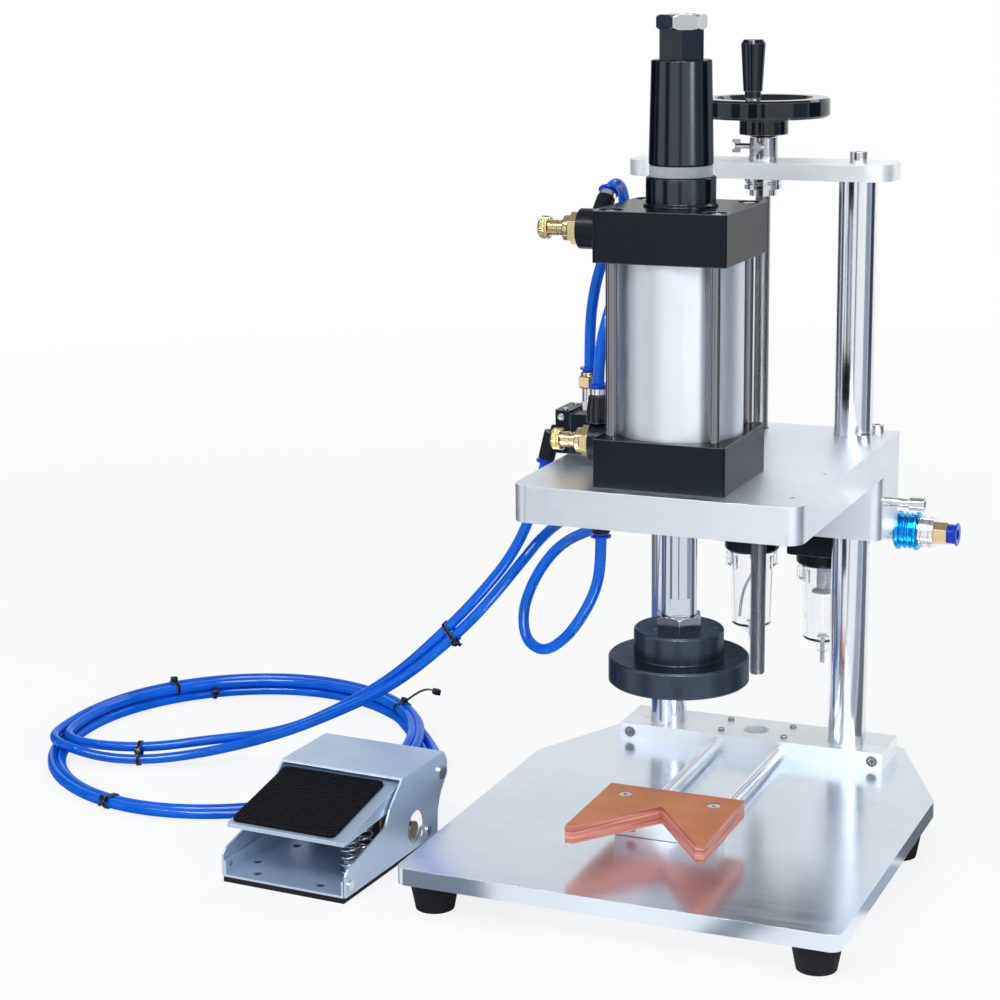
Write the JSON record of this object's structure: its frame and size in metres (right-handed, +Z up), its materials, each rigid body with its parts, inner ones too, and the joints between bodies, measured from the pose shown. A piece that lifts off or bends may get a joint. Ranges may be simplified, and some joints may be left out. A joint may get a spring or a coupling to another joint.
{
  "type": "perfume bottle crimping machine",
  "caption": "Bench crimping machine for perfume bottles: a pneumatic ram on a height-adjustable carriage over a base plate with a sliding V locator, worked by a foot pedal on air hoses.",
  "frame": {"origin": "on the floor, under the centre of the base plate's rectangle, in the plane that the four feet stand on", "axes": "+X to the operator's right, +Y away from the operator towards the columns, +Z up along the columns and the ram"},
  "size_m": [0.7472, 0.4187, 0.606],
  "materials": {
    "satin_aluminium": "satin machined",
    "barrel_aluminium": "matt anodised tube",
    "black_rubber": "moulded rubber",
    "chrome_rod": "ground and hard chromed",
    "bright_steel": "turned steel",
    "zinc_fastener": "plated steel",
    "black_oxide": "blackened steel",
    "black_anodised": "black anodised aluminium",
    "black_plastic": "moulded plastic",
    "grey_urethane": "urethane ring",
    "bronze_bush": "bronze",
    "brass_fitting": "turned brass",
    "blue_hose": "polyurethane tube",
    "clear_bowl": "clear polycarbonate",
    "blue_anodised": "blue anodised",
    "plated_valve": "plated body",
    "phenolic": "layered phenolic sheet",
    "grey_pedal": "grey metallic paint"
  },
  "bodies": {
    "base": {"base_plate": "satin_aluminium", "rubber_feet": "black_rubber", "base_block": "satin_aluminium", "base_block_screws": "zinc_fastener", "columns": "chrome_rod", "top_plate": "satin_aluminium", "top_plate_bolts": "zinc_fastener", "screw_bearing": "black_oxide", "pedal_base": "grey_pedal", "pedal_mat": "black_rubber", "pedal_cover": "grey_pedal", "pedal_valve": "grey_pedal", "pedal_pin_and_rivets": "bright_steel", "treadle_spring": "bright_steel", "hose_coil": "blue_hose", "lead_hose_a": "blue_hose", "lead_hose_b": "blue_hose", "tail_hose_a": "blue_hose", "tail_hose_b": "blue_hose"},
    "carriage": {"carriage_plate": "satin_aluminium", "slide_block": "satin_aluminium", "slide_bushes": "bronze_bush", "lead_nut": "bronze_bush", "carriage_screws": "zinc_fastener", "lower_cap": "black_anodised", "upper_cap": "black_anodised", "barrel": "barrel_aluminium", "tie_rods": "chrome_rod", "rod_gland": "black_oxide", "cushion_ring": "grey_urethane", "flow_controls": "brass_fitting", "valve_body": "black_anodised", "hose_fittings": "brass_fitting", "cylinder_hoses": "blue_hose", "loop_hose": "blue_hose", "air_unit_body": "black_anodised", "air_unit_bowls": "clear_bowl", "slide_valve": "plated_valve"},
    "wheel": {"lead_screw": "bright_steel", "lock_collar": "bright_steel", "handwheel": "black_plastic", "handle_spindle": "bright_steel"},
    "grip": {"handle_grip": "black_plastic"},
    "ram": {"piston": "grey_urethane", "ram_rod": "chrome_rod", "stroke_sleeve": "black_oxide", "rod_nuts": "zinc_fastener", "crimp_head": "black_oxide", "crimp_collet": "bright_steel"},
    "locator": {"locator_rods": "chrome_rod", "locator_bar": "satin_aluminium", "v_plate": "phenolic", "v_plate_screws": "zinc_fastener"},
    "inlet_sleeve": {"slide_sleeve": "blue_anodised"},
    "lock": {"lock_bolt": "bright_steel"},
    "upper_adjuster": {"upper_knob": "brass_fitting"},
    "lower_adjuster": {"lower_knob": "brass_fitting"},
    "pedal_treadle": {"treadle": "grey_pedal", "treadle_pad": "black_rubber"},
    "pressure_knob": {"regulator_knob": "black_plastic"}
  },
  "joints": [
    {"name": "carriage_height", "type": "slide", "parent": "base", "child": "carriage", "axis": [0, 0, 1], "range_m": [-0.045, 0.15], "deforming": ["lead_hose_a", "lead_hose_b"]},
    {"name": "handwheel_turn", "type": "hinge", "parent": "base", "child": "wheel", "pos_m": [0, 0.145, 0.5], "axis": [0, 0, 1], "range_deg": [-18010, 5410]},
    {"name": "handle_spin", "type": "hinge", "parent": "wheel", "child": "grip", "pos_m": [0.00393, 0.10419, 0.56], "axis": [0, 0, 1], "continuous": true},
    {"name": "ram_stroke", "type": "slide", "parent": "carriage", "child": "ram", "axis": [0, 0, 1], "range_m": [0, 0.05]},
    {"name": "locator_slide", "type": "slide", "parent": "base", "child": "locator", "axis": [0, 1, 0], "range_m": [-0.015, 0.11]},
    {"name": "inlet_slide", "type": "slide", "parent": "carriage", "child": "inlet_sleeve", "axis": [1, 0, 0], "range_m": [-0.01, 0]},
    {"name": "lock_turn", "type": "hinge", "parent": "carriage", "child": "lock", "pos_m": [0.11, 0.127, 0.2445], "axis": [1, 0, 0], "range_deg": [-180, 180]},
    {"name": "upper_flow_adjust", "type": "hinge", "parent": "carriage", "child": "upper_adjuster", "pos_m": [-0.095, -0.044, 0.461], "axis": [1, 0, 0], "range_deg": [0, 720]},
    {"name": "lower_flow_adjust", "type": "hinge", "parent": "carriage", "child": "lower_adjuster", "pos_m": [-0.085, -0.044, 0.312], "axis": [1, 0, 0], "range_deg": [0, 720]},
    {"name": "pressure_adjust", "type": "hinge", "parent": "carriage", "child": "pressure_knob", "pos_m": [0.0385, 0.195, 0.24], "axis": [0, 0, 1], "range_deg": [0, 720]},
    {"name": "treadle_press", "type": "hinge", "parent": "base", "child": "pedal_treadle", "pos_m": [-0.23923, -0.0366, 0.05], "axis": [0.9986, -0.0523, 0], "range_deg": [0, 6], "stiffness_Nm_per_rad": 6, "springref_deg": -5.73, "deforming": ["treadle_spring"]}
  ],
  "couplings": [
    {"joint": "handwheel_turn", "follows": "carriage_height", "rad_per_m": -2094.4}
  ]
}
